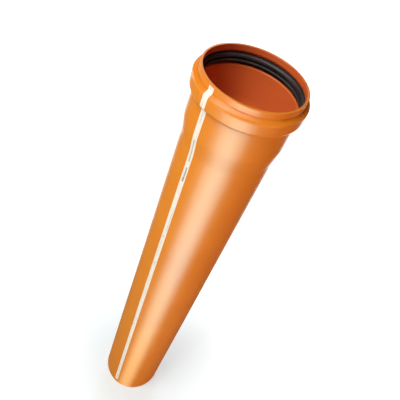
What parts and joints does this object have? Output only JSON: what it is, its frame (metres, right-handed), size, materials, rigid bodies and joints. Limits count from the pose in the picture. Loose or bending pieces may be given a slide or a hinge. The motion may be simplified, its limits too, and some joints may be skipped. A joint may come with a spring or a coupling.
{
  "type": "rainwater drain pipe",
  "caption": "Plain-walled round plastic drain pipe with a push-fit socket, a rubber sealing ring in its beaded groove and a printed strip down its side.",
  "frame": {"origin": "middle of the spigot end, on the surface that the pipe stands on", "axes": "+Z along the pipe's axis from the spigot end to the socket's mouth; the strip runs down the side between -X and -Y"},
  "size_m": [0.3608, 0.3608, 2.185],
  "materials": {
    "pipe_wall": "satin",
    "ring_rubber": "satin",
    "strip_film": "satin"
  },
  "bodies": {
    "root": {"pipe": "pipe_wall", "sealing_ring": "ring_rubber", "marking_strip": "strip_film"}
  },
  "joints": []
}
